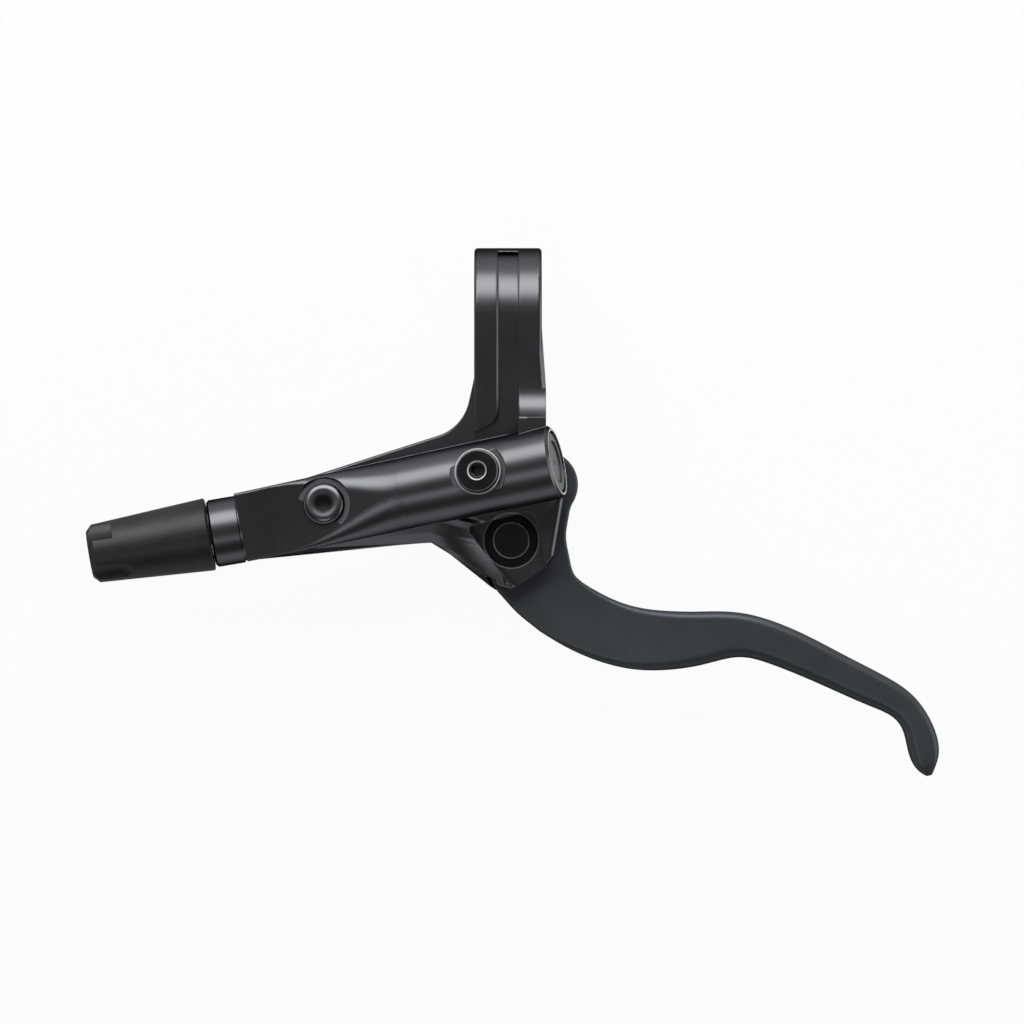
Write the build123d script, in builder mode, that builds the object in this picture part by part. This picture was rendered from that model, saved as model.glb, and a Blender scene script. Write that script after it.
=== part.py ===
from build123d import *
from math import asin, cos, degrees, pi, radians, sin, sqrt, tan
import os

os.makedirs("parts", exist_ok=True)

# Frame: origin at the bar's centre in the clamp, X along the bar, Y to the rider, Z up
# Handlebar clamp
bar_diameter = 22.2
clamp_wall = 3.4
clamp_width = 14.8
clamp_slit = 1.6
channel_width = 4.6
channel_depth = 0.7
channel_stop = 0.93
clamp_edge_radius = 0.8
channel_end_y = -23.6
arm_reach = 33.0
arm_flare = 0.9
lug_depth = 7.6
lug_margin = 1.2
bolt_diameter = 6.0
bolt_head_diameter = 10.0
bolt_head_height = 4.6
bolt_socket_flats = 5.0
bolt_engagement = 8.6
bolt_clearance = 0.2
bolt_washer_thickness = 1.0

# Lever pivot and the crank that drives the piston
pivot_x = 0.7
pivot_y = -49.8
cylinder_tilt = 9.6
cylinder_offset = 12.4
crank_rest_angle = 40.0
lever_throw = 30.0
knuckle_radius = 7.5
hub_radius = 7.6
swing_clearance = 0.5

# Master cylinder, measured along its bore from the foot of the pivot towards the hose
bore_diameter = 9.0
neck_end = 64.8
neck_length = 6.4
neck_diameter = 14.9
barrel_small_diameter = 14.2
barrel_large_diameter = 19.9
barrel_large_at = 15.5
bore_end = 52.0
outlet_diameter = 3.0
hose_diameter = 5.0
hose_clearance = 0.05
boot_bore_clearance = 0.6
hose_seat = 54.0
olive_seat = 56.5
fitting_thread_diameter = 8.0
stop_shoulder = 10.5
stop_bore_diameter = 10.3

# Reservoir barrel, measured along its own axis from the hose end of the body
reservoir_heading = 11.74
reservoir_climb = 11.6
reservoir_base_height = 0.8
reservoir_length = 79.3
reservoir_start = 8.2
reservoir_small_diameter = 15.2
reservoir_large_diameter = 16.2
reservoir_end_chamfer = 0.7
reservoir_sections = [
    (0.0, 1.6, 0.06),
    (0.15, 0.9, 0.08),
    (0.27, 0.25, 0.3),
    (0.39, 0.0, 0.74),
    (0.52, 0.0, 0.99),
]
cap_diameter = 13.2
cap_thickness = 2.2
cap_recess = 0.3
cap_vent_diameter = 1.0
cap_dish_diameter = 9.6
diaphragm_flange = 0.8
diaphragm_depth = 8.4
diaphragm_diameter = 8.4
diaphragm_wall = 0.8
chamber_diameter = 9.6
chamber_straight = 26.0
chamber_depth = 54.5
chamber_end_diameter = 3.0
web_half_width = 6.4

# Fittings on the reservoir
fitting_roll = 10.5
fitting_lean = 6.0
bleed_at = 63.0
bleed_seat_depth = 0.9
bleed_recess_diameter = 12.4
bleed_flange_diameter = 10.1
bleed_flange_thickness = 1.0
bleed_head_diameter = 9.3
bleed_head_thickness = 1.2
bleed_thread_diameter = 5.0
bleed_thread_length = 3.2
o_ring_thickness = 1.16
bleed_socket_flats = 2.5
bleed_socket_depth = 1.7
plug_at = 27.9
plug_seat_depth = 0.6
plug_recess_diameter = 11.8
plug_diameter = 9.1
plug_height = 1.7
plug_crest_diameter = 5.8
plug_rim = 0.4
plug_dish = 0.6
plug_shank_diameter = 4.8
port_diameter = 1.2

# Ears round the lever's root
slot_height = 10.0
ear_top = 10.4
ear_bottom = -8.6
ear_step = 1.1
ear_step_height = 3.0
pocket_floor = 8.2
bush_bore_clearance = 0.03
bush_wall = 1.2
bush_flange_diameter = 11.6
bush_flange_thickness = 1.4
bush_flange_proud = 0.4
axle_diameter = 7.0
axle_head_diameter = 8.2
axle_head_thickness = 0.8
axle_clip_thickness = 0.7
washer_thickness = 0.5

# Lever blade
root_half_height = 4.4
rear_edge_radius = 0.7
trunnion_diameter = 6.4
trunnion_clearance = 0.03
pushrod_swing = 22.0
root_front = [(-2.4, -60.9), (2.4, -66.1)]
root_rear = [(13.25, -45.0), (12.75, -48.6), (13.5, -53.6)]
root_way = (0.68, -0.73)
root_lead = 0.8
blade_stations = [
    ((16.0, -58.7), (7.0, -69.8), root_half_height, rear_edge_radius, rear_edge_radius),
    ((18.7, -60.5), (11.4, -72.5), 4.5, 1.2, 0.8),
    ((22.5, -62.5), (16.2, -74.9), 4.7, 1.7, 1.0),
    ((30.5, -64.9), (27.3, -78.1), 5.2, 2.4, 1.3),
    ((36.0, -65.4), (34.5, -78.3), 5.4, 2.8, 1.5),
    ((41.5, -65.5), (41.5, -77.4), 5.6, 3.0, 1.6),
    ((51.5, -65.8), (50.0, -75.5), 5.7, 3.0, 1.7),
    ((62.0, -69.0), (57.5, -76.9), 5.5, 2.9, 1.8),
    ((73.0, -74.5), (69.0, -81.6), 5.1, 2.7, 1.8),
    ((83.0, -79.7), (79.0, -86.0), 4.8, 2.5, 1.8),
    ((89.2, -84.1), (84.8, -88.8), 4.6, 2.3, 1.8),
    ((93.1, -89.8), (87.2, -92.4), 4.4, 2.2, 1.8),
    ((94.7, -95.7), (88.4, -97.3), 4.1, 2.1, 1.7),
    ((93.2, -101.3), (92.0, -101.6), 2.6, 0.5, 0.5),
]
pushrod_slot_height = 4.8

# Pushrod, piston and seals
pushrod_length = 24.0
pushrod_diameter = 4.0
pushrod_neck_diameter = 3.0
pushrod_tail = 5.4
ball_diameter = 4.8
socket_clearance = 0.6
ball_rest_gap = 0.1
piston_clearance = 0.07
piston_front = 37.5
piston_nose_diameter = 5.2
piston_nose_length = 2.0
cup_groove_diameter = 6.2
cup_width = 2.6
cup_clearance = 0.02
primary_cup_at = 33.6
secondary_cup_at = 21.4
spring_wire_diameter = 0.8
spring_coil_diameter = 6.6
spring_pitch = 2.2
stop_washer_thickness = 0.8
snap_ring_thickness = 0.9
snap_ring_diameter = 11.6

# Hose boot and fitting
boot_length = 26.8
boot_gap = 0.3
boot_large_diameter = 16.1
boot_small_diameter = 12.9
boot_end_chamfer = 1.3
scallop_length = 10.4
scallop_depth = 0.9
scallop_radius = 4.6
nut_flats = 8.0
nut_head_length = 6.0
olive_length = 3.8

# Outlines of the casting, seen from above
gusset_start = 22.0
gusset_corner = (60.2, 11.5)
gusset_top = (66.2, 24.5)
gusset_fillet = 10.0
gusset_depth = 3.4
gusset_rise = 0.2
slot_back = 23.0
slot_front = 20.0
rib_sweep_start = 16.4
rib_sweep_radius = 7.7
rib_sweep_angle = 58.0
ear_outline = [
    (-19.0, -47.2),
    (-14.2, -50.3),
    (-2.4, -59.7),
    (0.9, -60.5),
    (8.1, -55.8),
    (10.1, -53.2),
    (12.2, -40.9),
    (12.8, -34.0),
    (4.0, -28.0),
    (-12.0, -36.0),
]
crown_inner = [(-4.0, -34.0), (-6.0, -50.0)]
ear_tip_radius = 1.5
ear_edge_radius = 0.8
ear_crown_radius = 1.3
skirt_sections = [
    (57.0, [(-2.0, 4.0), (-3.0, 6.0), (-4.3, 5.2), (-5.4, 3.5), (-6.4, 2.0), (-6.6, 0.0), (0.0, 0.0)]),
    (17.5, [(-3.0, 9.0), (-3.0, 13.1), (-4.7, 12.9), (-7.7, 10.4), (-9.7, 8.2), (-10.0, 0.0), (0.0, 0.0)]),
    (3.2, [(-3.0, 10.0), (-3.0, 14.6), (-4.8, 14.6), (-10.8, 11.4), (-21.8, 10.5), (-22.6, 0.0), (0.0, 0.0)]),
    (-11.0, [(-1.0, 9.0), (-1.5, 12.0), (-2.5, 12.0), (-4.5, 11.0), (-6.0, 10.2), (-6.0, 6.0), (0.0, 6.0)]),
]
pocket_outline = [(-9.3, -46.9), (5.7, -43.1), (8.4, -56.0), (6.0, -62.0), (0.6, -59.4)]

# Small clearances used all over
seat_clearance = 0.02
edge_radius = 0.5

# Lines and planes that the pieces share
bar_radius = bar_diameter / 2
ring_radius = bar_radius + clamp_wall
tilt = radians(cylinder_tilt)
along = Vector(cos(tilt), sin(tilt), 0)
hoseward = Vector(-cos(tilt), -sin(tilt), 0)
barward = Vector(-sin(tilt), cos(tilt), 0)
pivot = Vector(pivot_x, pivot_y, 0)
foot = pivot + barward * cylinder_offset
cylinder_plane = Plane(origin=foot, x_dir=hoseward, z_dir=barward)
cylinder_axis = Axis(foot, hoseward)
pivot_plane = Plane(origin=pivot, x_dir=along, z_dir=(0, 0, 1))
rest = radians(crank_rest_angle)
full = radians(crank_rest_angle - lever_throw)
crank_radius = 2 * cylinder_offset / (cos(rest) + cos(full))
trunnion = pivot + along * (crank_radius * sin(rest)) + barward * (crank_radius * cos(rest))
rod_drop = cylinder_offset - crank_radius * cos(rest)
rod_reach = sqrt(pushrod_length**2 - rod_drop**2)
ball = foot + along * (crank_radius * sin(rest) - rod_reach)
ball_at = rod_reach - crank_radius * sin(rest)
rod_direction = (trunnion - ball).normalized()
rod_plane = Plane(origin=ball, x_dir=rod_direction, z_dir=Vector(0, 0, 1).cross(rod_direction))
rod_axis = Axis(ball, rod_direction)
rod_heading = degrees(asin(rod_direction.Y))
mouth = knuckle_radius - crank_radius * sin(full) + swing_clearance
slot_flank = hub_radius + swing_clearance
flank_top = slot_flank * sin(full) + crank_radius * cos(full)

heading = radians(reservoir_heading)
climb = radians(reservoir_climb)
plan_direction = Vector(cos(heading), sin(heading), 0)
reservoir_side = Vector(-sin(heading), cos(heading), 0)
reservoir_direction = plan_direction * cos(climb) + Vector(0, 0, sin(climb))
reservoir_up = Vector(0, 0, cos(climb)) - plan_direction * sin(climb)
reservoir_root = foot + hoseward * neck_end + Vector(0, 0, reservoir_base_height)
reservoir_end = reservoir_root + reservoir_direction * reservoir_length
reservoir_axis = Axis(reservoir_root, reservoir_direction)
reservoir_plane = Plane(origin=reservoir_root, x_dir=reservoir_direction, z_dir=reservoir_side * -1)
deck_plane = Plane(origin=reservoir_root, x_dir=reservoir_direction, z_dir=reservoir_up)
web_plane = Plane(origin=reservoir_root, x_dir=plan_direction, z_dir=reservoir_side * -1)
end_plane = Plane(origin=reservoir_end, x_dir=reservoir_side, z_dir=reservoir_direction)
taper = (reservoir_large_diameter - reservoir_small_diameter) / 2 / (reservoir_length - reservoir_start)
roll = radians(fitting_roll)
fitting_radial = reservoir_up * cos(roll) + reservoir_side * sin(roll)
lean = tan(radians(fitting_lean))
fitting_normal = (Vector(0, 0, 1) + reservoir_side * tan(roll) - plan_direction * lean).normalized()
bleed_radius = reservoir_small_diameter / 2 + taper * (bleed_at - reservoir_start) - bleed_seat_depth
plug_radius = reservoir_small_diameter / 2 + taper * (plug_at - reservoir_start) - plug_seat_depth
bleed_seat = reservoir_root + reservoir_direction * bleed_at + fitting_radial * bleed_radius
plug_seat = reservoir_root + reservoir_direction * plug_at + fitting_radial * plug_radius
bleed_plane = Plane(origin=bleed_seat, x_dir=plan_direction, z_dir=fitting_normal)
plug_plane = Plane(origin=plug_seat, x_dir=plan_direction, z_dir=fitting_normal)

bolt_y = -(ring_radius + bolt_diameter / 2 + bolt_clearance)
lug_end = -bolt_y + bolt_head_diameter / 2 + lug_margin
bush_radius = axle_diameter / 2 + bush_bore_clearance + bush_wall
half_slot = slot_height / 2
bush_flange_top = pocket_floor + bush_flange_proud
bush_flange_seat = bush_flange_top - bush_flange_thickness
hose_radius = hose_diameter / 2 + hose_clearance
boot_bore_radius = hose_diameter / 2 + boot_bore_clearance
thread_start = olive_seat + 0.9
o_ring_middle = bleed_thread_diameter / 2 + seat_clearance + o_ring_thickness / 2
o_ring_outer = o_ring_middle + o_ring_thickness / 2
piston_radius = bore_diameter / 2 - piston_clearance
piston_rear = stop_shoulder + 0.05
socket_radius = ball_diameter / 2 + socket_clearance
socket_at = ball_at + ball_diameter / 2 + ball_rest_gap - socket_radius
snap_at = stop_shoulder - stop_washer_thickness - snap_ring_thickness
cap_seat = reservoir_length - cap_recess - cap_thickness - diaphragm_flange
axle_top = bush_flange_top - 0.35
clip_bottom = ear_bottom - axle_clip_thickness - 3 * seat_clearance
clip_groove_radius = axle_diameter / 2 - 0.6
axle_bottom = clip_bottom - 0.9
rod_end_plane = Plane(origin=trunnion, z_dir=rod_direction)
rod_tail_plane = Plane(origin=ball + rod_direction * (pushrod_length + pushrod_tail), z_dir=rod_direction)
stop_plane = Plane(origin=foot + hoseward * stop_shoulder, x_dir=barward, z_dir=hoseward)
port_plane = Plane(origin=foot + hoseward * neck_end, x_dir=barward, z_dir=hoseward)
bolt_seat = -lug_depth - bolt_washer_thickness
plug_shank_length = plug_radius - 2.2
olive_start = olive_seat + 0.05
nut_nose = olive_start + olive_length
boot_start = neck_end + boot_gap
boot_end = boot_start + boot_length
boot_cavity_radius = nut_flats / sqrt(3) + 0.05
boot_cavity_end = neck_end + nut_head_length + 0.2
boot_end_plane = Plane(origin=foot + hoseward * boot_end, x_dir=barward, z_dir=hoseward)

# Gusset that runs from the arm along the reservoir
with BuildPart() as gusset:
    with BuildSketch(deck_plane.offset(-gusset_depth)):
        with BuildLine():
            Polyline(
                (gusset_start - 4, 0),
                (gusset_start, reservoir_small_diameter / 2),
                gusset_corner,
                gusset_top,
                (gusset_top[0] + 6, gusset_top[1]),
                (gusset_top[0] + 6, 0),
                close=True,
            )
        make_face()
        fillet(vertices().sort_by_distance(gusset_corner)[0], gusset_fillet)
    extrude(amount=gusset_depth + gusset_rise)
    gusset_face = faces().sort_by_distance(deck_plane.from_local_coords(Vector(40, 9.6, 0)))[0]
    fillet(gusset_face.edges().filter_by(lambda e: e.length > 20), edge_radius)

# Reservoir barrel: a flat panel beside the neck that turns round towards the open end
with BuildPart() as reservoir:
    for share, drop, corner in reservoir_sections:
        station = reservoir_start + share * (reservoir_length - reservoir_start)
        half_width = reservoir_small_diameter / 2 + taper * (station - reservoir_start)
        with BuildSketch(end_plane.offset(station - reservoir_length)):
            with Locations((0, -drop / 2)):
                Rectangle(2 * half_width, 2 * half_width - drop)
            fillet(vertices().group_by(Axis.Y)[-1], corner * half_width)
            fillet(vertices().group_by(Axis.Y)[0], 0.95 * half_width)
    loft()
    with BuildSketch(reservoir_plane):
        with BuildLine():
            Polyline(
                (station, 0),
                (station, half_width),
                (reservoir_length - reservoir_end_chamfer, reservoir_large_diameter / 2),
                (reservoir_length, reservoir_large_diameter / 2 - reservoir_end_chamfer),
                (reservoir_length, 0),
                close=True,
            )
        make_face()
    revolve(axis=reservoir_axis)

# Right-hand flank of the arm, leaning out towards the reservoir with a sloped top edge
with BuildPart() as flank:
    with BuildSketch(Plane.XY.offset(clamp_slit / 2)):
        with BuildLine():
            Polyline(
                (channel_width / 2, -clamp_wall),
                (clamp_width / 2, -clamp_wall),
                (clamp_width / 2 + arm_flare, -rib_sweep_start),
                (clamp_width / 2 + arm_flare, -arm_reach),
                (channel_width / 2, -arm_reach),
                close=True,
            )
        make_face()
    extrude(amount=ring_radius - clamp_slit / 2)
    chamfer(faces().sort_by(Axis.Z)[-1].edges().sort_by(Axis.X)[-2:], arm_flare)

# Skirt that widens the casting from the neck to the ears
with BuildPart() as skirt:
    for station, section in skirt_sections:
        with BuildSketch(Plane(origin=foot + hoseward * station, x_dir=barward, z_dir=along)):
            with BuildLine():
                Polyline(*section, close=True)
            make_face()
    loft(ruled=True)

# Ears round the lever's root: the lower one stands out a little further
with BuildPart() as ears:
    with BuildSketch(Plane.XY.offset(ear_bottom)):
        with BuildLine():
            Polyline(*ear_outline, close=True)
        make_face()
        offset(amount=ear_step, kind=Kind.ARC)
    extrude(amount=ear_step_height - ear_bottom)
    fillet(faces().sort_by(Axis.Z)[0].edges(), ear_edge_radius)
    with BuildSketch(Plane.XY.offset(ear_step_height)):
        with BuildLine():
            Polyline(*ear_outline[2:-1], *crown_inner, close=True)
        make_face()
        fillet(vertices().group_by(Axis.Y)[0:3], ear_tip_radius)
    extrude(amount=ear_top - ear_step_height)
    fillet(faces().sort_by(Axis.Z)[-1].edges(), ear_crown_radius)

# Master cylinder body, one casting
with BuildPart() as body:
    # Clamp ring, arm above the slit and lug below it
    with BuildSketch(Plane.YZ.offset(-clamp_width / 2)):
        Circle(ring_radius)
        with BuildLine():
            Polyline(
                (0, ring_radius),
                (-arm_reach, ring_radius),
                (-arm_reach, clamp_slit / 2),
                (0, clamp_slit / 2),
                close=True,
            )
        make_face()
        with BuildLine():
            Polyline(
                (0, -clamp_slit / 2),
                (-lug_end, -clamp_slit / 2),
                (-lug_end, -lug_depth),
                (0, -lug_depth),
                close=True,
            )
        make_face()
        Circle(bar_radius, mode=Mode.SUBTRACT)
        with Locations((-lug_end, 0)):
            Rectangle(lug_end, clamp_slit, align=(Align.MIN, Align.CENTER), mode=Mode.SUBTRACT)
    extrude(amount=clamp_width)
    ring_edges = edges().filter_by(GeomType.CIRCLE).filter_by(lambda e: abs(e.radius - ring_radius) < 0.01)
    fillet(ring_edges, clamp_edge_radius)

    # Gusset, trimmed level with the arm's top
    add(gusset.part)
    with BuildSketch(Plane.XY.offset(ring_radius)):
        with Locations((-clamp_width / 2, -arm_reach)):
            Rectangle(3 * clamp_width, arm_reach, align=(Align.MIN, Align.MIN))
    extrude(amount=8, mode=Mode.SUBTRACT)

    # Channel in the clamp's outer face, ending in a point beside the reservoir
    with BuildSketch(Plane.XY.offset(ring_radius - channel_depth)):
        with BuildLine():
            Polyline(
                (-channel_width / 2, 0),
                (-channel_width / 2, channel_end_y),
                (-clamp_width, channel_end_y - 6),
                (-clamp_width, channel_end_y - 14),
                (channel_width / 2, channel_end_y - 14),
                (channel_width / 2, 0),
                close=True,
            )
        make_face()
        fillet(vertices().sort_by_distance((-channel_width / 2, channel_end_y))[0], channel_width / 2)
    extrude(amount=6, mode=Mode.SUBTRACT)
    with BuildSketch(Plane.YZ.offset(-channel_width / 2)):
        Circle(ring_radius + 1)
        Circle(ring_radius - channel_depth, mode=Mode.SUBTRACT)
        with Locations((-ring_radius, 0)):
            Rectangle(2 * ring_radius, 4 * ring_radius, mode=Mode.SUBTRACT)
        with Locations((ring_radius * channel_stop, 0)):
            Rectangle(ring_radius, 4 * ring_radius, align=(Align.MIN, Align.CENTER), mode=Mode.SUBTRACT)
    extrude(amount=channel_width, mode=Mode.SUBTRACT)

    # Right-hand flank, kept out of the bar's bore
    add(flank.part)
    with BuildSketch(Plane.YZ.offset(-clamp_width)):
        Circle(bar_radius)
    extrude(amount=2 * clamp_width, mode=Mode.SUBTRACT)

    # Sweep of the right-hand rib up to the reservoir
    with BuildSketch(Plane.YZ.offset(channel_width / 2)):
        with BuildLine():
            rib_arc = JernArc((-rib_sweep_start, ring_radius), (-1, 0), rib_sweep_radius, -rib_sweep_angle)
            Polyline(
                rib_arc @ 1,
                (-arm_reach, (rib_arc @ 1).Y),
                (-arm_reach, half_slot),
                (-rib_sweep_start, half_slot),
                rib_arc @ 0,
            )
        make_face()
    extrude(amount=clamp_width / 2 + arm_flare - channel_width / 2)

    # Reservoir barrel, climbing towards its open end
    add(reservoir.part)

    # Web that fills the casting under the reservoir
    with BuildSketch(web_plane):
        with BuildLine():
            Polyline(
                (reservoir_start + 6, 0),
                (reservoir_start + 6, 2),
                (reservoir_length * cos(climb) - 1, reservoir_length * sin(climb)),
                (reservoir_length * cos(climb) - 1, half_slot),
                (reservoir_length * cos(climb) - 20, 0),
                close=True,
            )
        make_face()
    extrude(amount=web_half_width, both=True)

    # Cylinder barrel and the plain neck at the hose end
    with BuildSketch(cylinder_plane):
        with BuildLine():
            Polyline(
                (mouth, 0),
                (mouth, barrel_large_diameter / 2),
                (barrel_large_at, barrel_large_diameter / 2),
                (neck_end - neck_length, barrel_small_diameter / 2),
                (neck_end - neck_length, neck_diameter / 2),
                (neck_end - edge_radius, neck_diameter / 2),
                (neck_end, neck_diameter / 2 - edge_radius),
                (neck_end, 0),
                close=True,
            )
        make_face()
    revolve(axis=cylinder_axis)

    # Gusset, skirt and ears join the casting
    add(skirt.part)
    add(ears.part)

    # Slot for the lever's root, with room for its swing
    with BuildSketch(pivot_plane.offset(-half_slot)):
        Circle(hub_radius + swing_clearance)
        with BuildLine():
            Polyline(
                (-mouth, slot_back),
                (-mouth, flank_top),
                (-slot_flank * cos(full), slot_flank * sin(full)),
                (-hub_radius, -3.4),
                (-5.5, -11),
                (-5.3, -slot_front),
                (30, -slot_front),
                (30, slot_back),
                close=True,
            )
        make_face()
    extrude(amount=slot_height, mode=Mode.SUBTRACT)

    # Pocket in the upper ear round the pivot
    with BuildSketch(Plane.XY.offset(pocket_floor)):
        with BuildLine():
            Polyline(*pocket_outline, close=True)
        make_face()
        fillet(vertices().sort_by_distance(pocket_outline[0])[0], 1.0)
        fillet(vertices().sort_by_distance(pocket_outline[1])[0], 2.0)
    extrude(amount=8, mode=Mode.SUBTRACT)

    # Holes for the bushes in both ears
    with BuildSketch(pivot_plane.offset(ear_bottom)):
        Circle(bush_radius + seat_clearance)
    extrude(amount=ear_top - ear_bottom, mode=Mode.SUBTRACT)
    with BuildSketch(pivot_plane.offset(bush_flange_seat)):
        Circle(bush_flange_diameter / 2 + seat_clearance)
    extrude(amount=2 * bush_flange_thickness, mode=Mode.SUBTRACT)
    with BuildSketch(pivot_plane.offset(ear_bottom)):
        Circle(bush_flange_diameter / 2 + seat_clearance)
    extrude(amount=bush_flange_thickness, mode=Mode.SUBTRACT)

    # Cylinder bore with its stop shoulder, outlet and hose port
    with BuildSketch(cylinder_plane):
        with BuildLine():
            Polyline(
                (mouth - 1, 0),
                (mouth - 1, stop_bore_diameter / 2),
                (snap_at, stop_bore_diameter / 2),
                (snap_at, snap_ring_diameter / 2 + seat_clearance),
                (snap_at + snap_ring_thickness, snap_ring_diameter / 2 + seat_clearance),
                (snap_at + snap_ring_thickness, stop_bore_diameter / 2),
                (stop_shoulder, stop_bore_diameter / 2),
                (stop_shoulder, bore_diameter / 2),
                (bore_end, bore_diameter / 2),
                (bore_end, outlet_diameter / 2),
                (hose_seat, outlet_diameter / 2),
                (hose_seat, hose_radius),
                (olive_seat, hose_radius),
                (thread_start, fitting_thread_diameter / 2 - 0.5),
                (thread_start, fitting_thread_diameter / 2),
                (neck_end + 1, fitting_thread_diameter / 2),
                (neck_end + 1, 0),
                close=True,
            )
        make_face()
    revolve(axis=cylinder_axis, mode=Mode.SUBTRACT)

    # Reservoir chamber with the seats for cap and diaphragm
    with BuildSketch(reservoir_plane):
        with BuildLine():
            Polyline(
                (reservoir_length + 1, 0),
                (reservoir_length + 1, cap_diameter / 2 + seat_clearance),
                (cap_seat, cap_diameter / 2 + seat_clearance),
                (cap_seat, chamber_diameter / 2),
                (reservoir_length - chamber_straight, chamber_diameter / 2),
                (reservoir_length - chamber_depth, chamber_end_diameter / 2),
                (reservoir_length - chamber_depth, 0),
                close=True,
            )
        make_face()
    revolve(axis=reservoir_axis, mode=Mode.SUBTRACT)

    # Seat and tapped hole for the bleed screw
    with BuildSketch(bleed_plane):
        Circle(bleed_recess_diameter / 2)
    extrude(amount=6, mode=Mode.SUBTRACT)
    with BuildSketch(bleed_plane):
        Circle(bleed_thread_diameter / 2 + seat_clearance)
    extrude(amount=-bleed_radius, mode=Mode.SUBTRACT)
    with BuildSketch(bleed_plane):
        Circle(o_ring_outer + seat_clearance)
    extrude(amount=-o_ring_thickness - seat_clearance, mode=Mode.SUBTRACT)

    # Seat and hole for the plug, and the port drilled through it into the bore
    with BuildSketch(plug_plane):
        Circle(plug_recess_diameter / 2)
    extrude(amount=6, mode=Mode.SUBTRACT)
    with BuildSketch(plug_plane):
        Circle(plug_shank_diameter / 2 + seat_clearance)
    extrude(amount=1 - plug_radius, mode=Mode.SUBTRACT)
    with BuildSketch(plug_plane):
        Circle(port_diameter / 2)
    extrude(amount=-plug_radius - 4, mode=Mode.SUBTRACT)

    # Clamp bolt: clearance in the lug, seat for its washer, tapped hole in the arm
    with BuildSketch(Plane.XY.offset(-lug_depth)):
        with Locations((0, bolt_y)):
            Circle(bolt_diameter / 2 + bolt_clearance)
    extrude(amount=lug_depth, mode=Mode.SUBTRACT)
    with BuildSketch(Plane.XY):
        with Locations((0, bolt_y)):
            Circle(bolt_diameter / 2 + seat_clearance)
    extrude(amount=bolt_engagement + 1.2, mode=Mode.SUBTRACT)
body.part.label = "master_cylinder_body"
export_step(body.part, "parts/master_cylinder_body.step")

# Lever: root with hub and knuckle, then the blade lofted through sections
crank = (trunnion - pivot).normalized()
crank_left = Vector(-crank.Y, crank.X, 0)
hub_low = pivot + Vector(cos(radians(205)), sin(radians(205)), 0) * hub_radius
hub_mid = pivot - Vector(hub_radius, 0, 0)
hub_top = pivot + crank_left * hub_radius
knuckle_left = trunnion + crank_left * knuckle_radius
knuckle_top = trunnion + crank * knuckle_radius
knuckle_right = trunnion + Vector(cos(radians(-32)), sin(radians(-32)), 0) * knuckle_radius
blade_rear = Vector(*blade_stations[0][0])
blade_front = Vector(*blade_stations[0][1])
blade_way = Vector(0, 0, 1).cross(blade_front - blade_rear).normalized()
lead_rear = blade_rear - blade_way * root_lead
lead_front = blade_front - blade_way * root_lead
with BuildPart() as lever:
    with BuildSketch(Plane.XY.offset(-root_half_height)):
        with BuildLine():
            Line(root_front[0], (hub_low.X, hub_low.Y))
            ThreePointArc((hub_low.X, hub_low.Y), (hub_mid.X, hub_mid.Y), (hub_top.X, hub_top.Y))
            Line((hub_top.X, hub_top.Y), (knuckle_left.X, knuckle_left.Y))
            knuckle = ThreePointArc(
                (knuckle_left.X, knuckle_left.Y),
                (knuckle_top.X, knuckle_top.Y),
                (knuckle_right.X, knuckle_right.Y),
            )
            Spline(
                knuckle @ 1,
                *root_rear,
                lead_rear,
                tangents=(knuckle % 1, blade_way),
            )
            Polyline(lead_rear, blade_rear, blade_front, lead_front)
            Spline(root_front[0], root_front[1], lead_front, tangents=(root_way, blade_way))
        make_face()
    extrude(amount=2 * root_half_height)
    root_edges = edges().filter_by(lambda e: abs(e.center().Z) > root_half_height - 0.01)
    joint_edges = root_edges.sort_by_distance((blade_rear + blade_front) * 0.5)[0:2]
    fillet([e for e in root_edges if e not in joint_edges], rear_edge_radius)
    for rear_point, front_point, half_height, front_radius, rear_radius in blade_stations:
        rear_edge = Vector(*rear_point)
        front_edge = Vector(*front_point)
        across = (front_edge - rear_edge).normalized()
        middle = (front_edge + rear_edge) * 0.5
        with BuildSketch(Plane(origin=middle, x_dir=across, z_dir=Vector(0, 0, 1).cross(across))):
            Rectangle((front_edge - rear_edge).length, 2 * half_height)
            fillet(vertices().group_by(Axis.X)[-1], front_radius)
            fillet(vertices().group_by(Axis.X)[0], rear_radius)
    loft()

    # Bore for the axle, hole for the trunnion and the slot that the pushrod swings in
    with BuildSketch(pivot_plane.offset(-root_half_height)):
        Circle(axle_diameter / 2 + seat_clearance)
    extrude(amount=2 * root_half_height, mode=Mode.SUBTRACT)
    with BuildSketch(Plane.XY.offset(-root_half_height)):
        with Locations((trunnion.X, trunnion.Y)):
            Circle(trunnion_diameter / 2 + trunnion_clearance)
    extrude(amount=2 * root_half_height, mode=Mode.SUBTRACT)
    with BuildSketch(Plane.XY.offset(-pushrod_slot_height / 2)):
        for turn in (0, -pushrod_swing / 2, -pushrod_swing):
            with Locations((trunnion.X, trunnion.Y)):
                Rectangle(4 * knuckle_radius, pushrod_slot_height, rotation=rod_heading + turn)
        with Locations((pivot.X, pivot.Y)):
            Circle(hub_radius, mode=Mode.SUBTRACT)
    extrude(amount=pushrod_slot_height, mode=Mode.SUBTRACT)
lever.part.label = "lever_blade"
export_step(lever.part, "parts/lever_blade.step")

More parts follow.
